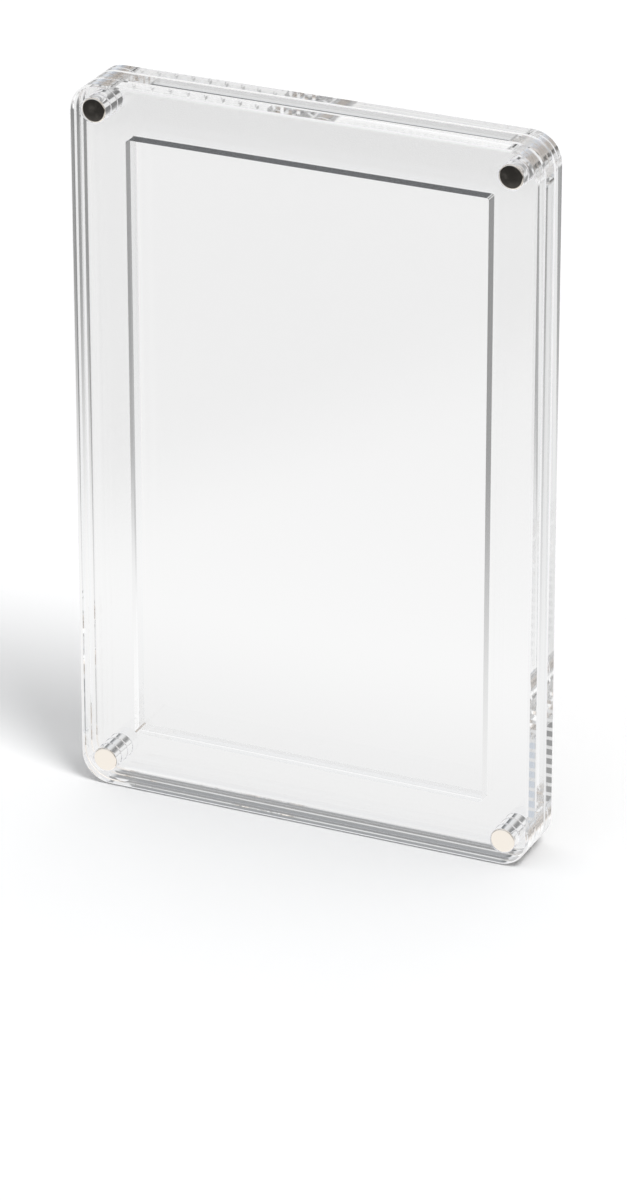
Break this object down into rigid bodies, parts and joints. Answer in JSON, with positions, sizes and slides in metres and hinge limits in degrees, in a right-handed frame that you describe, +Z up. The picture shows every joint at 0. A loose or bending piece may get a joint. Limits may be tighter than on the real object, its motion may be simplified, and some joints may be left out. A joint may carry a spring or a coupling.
{
  "type": "trading card display case",
  "caption": "Clear upright case of polished plates held together by corner magnets; its front plate pulls off to take a graded trading card holder.",
  "frame": {"origin": "middle of the footprint, on the surface that the case stands on", "axes": "+X to the viewer's right, +Y to the back, +Z up"},
  "size_m": [0.105, 0.0138, 0.1615],
  "materials": {
    "clear_acrylic": "clear acrylic with polished edges",
    "magnet_nickel": "bright nickel plating"
  },
  "bodies": {
    "back": {"back_plate": "clear_acrylic", "back_magnet_top_left": "magnet_nickel", "back_magnet_top_right": "magnet_nickel", "back_magnet_bottom_left": "magnet_nickel", "back_magnet_bottom_right": "magnet_nickel"},
    "frame": {"card_frame": "clear_acrylic", "frame_magnet_top_left": "magnet_nickel", "frame_magnet_top_right": "magnet_nickel", "frame_magnet_bottom_left": "magnet_nickel", "frame_magnet_bottom_right": "magnet_nickel"},
    "front": {"front_plate": "clear_acrylic", "front_magnet_top_left": "magnet_nickel", "front_magnet_top_right": "magnet_nickel", "front_magnet_bottom_left": "magnet_nickel", "front_magnet_bottom_right": "magnet_nickel"}
  },
  "joints": [
    {"name": "frame_pull_off", "type": "slide", "parent": "back", "child": "frame", "axis": [0, -1, 0], "range_m": [0, 0.04]},
    {"name": "front_pull_off", "type": "slide", "parent": "frame", "child": "front", "axis": [0, -1, 0], "range_m": [0, 0.04]}
  ]
}
